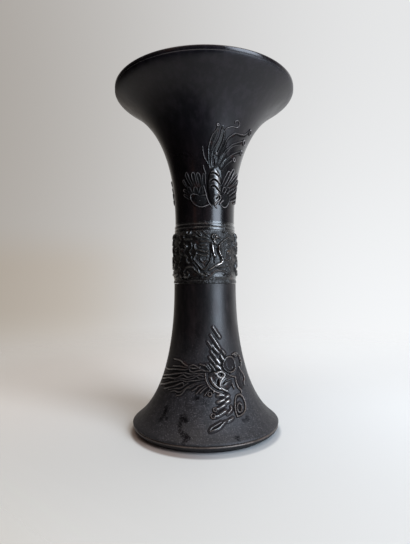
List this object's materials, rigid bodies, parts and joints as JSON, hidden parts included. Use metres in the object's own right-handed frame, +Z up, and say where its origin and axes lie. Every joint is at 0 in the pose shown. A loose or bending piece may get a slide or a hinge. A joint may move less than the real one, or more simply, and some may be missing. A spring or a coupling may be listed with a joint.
{
  "type": "cornet vase",
  "caption": "Tall bronze cornet vase with a flared mouth and foot, a relief band of waves round the waist and relief birds on the neck and the foot.",
  "frame": {"origin": "centre of the standing ring, on the surface that the vase stands on", "axes": "+Z up along the vase's axis, -Y towards the front, which is the side with the birds in the picture"},
  "size_m": [0.1592, 0.1592, 0.3],
  "materials": {
    "dark_bronze": "cast bronze with a brown-black patina, half gloss on the neck, duller on the foot",
    "relief_bronze": "cast and chased bronze, brown-black patina worn to brown on the ridges",
    "pin_bronze": "bronze rod, filed and patinated",
    "base_bronze": "plain bronze plate, dull dark patina",
    "solder": "dull grey tin solder"
  },
  "bodies": {
    "root": {"upper_trumpet": "dark_bronze", "lower_trumpet": "dark_bronze", "relief_band": "relief_bronze", "neck_bird_front": "relief_bronze", "neck_bird_back": "relief_bronze", "foot_bird_front": "relief_bronze", "foot_bird_back": "relief_bronze", "joint_pin_1": "pin_bronze", "joint_pin_2": "pin_bronze", "joint_pin_3": "pin_bronze", "joint_pin_4": "pin_bronze", "joint_solder_ring": "solder", "base_plate": "base_bronze", "base_solder_ring": "solder"}
  },
  "joints": []
}
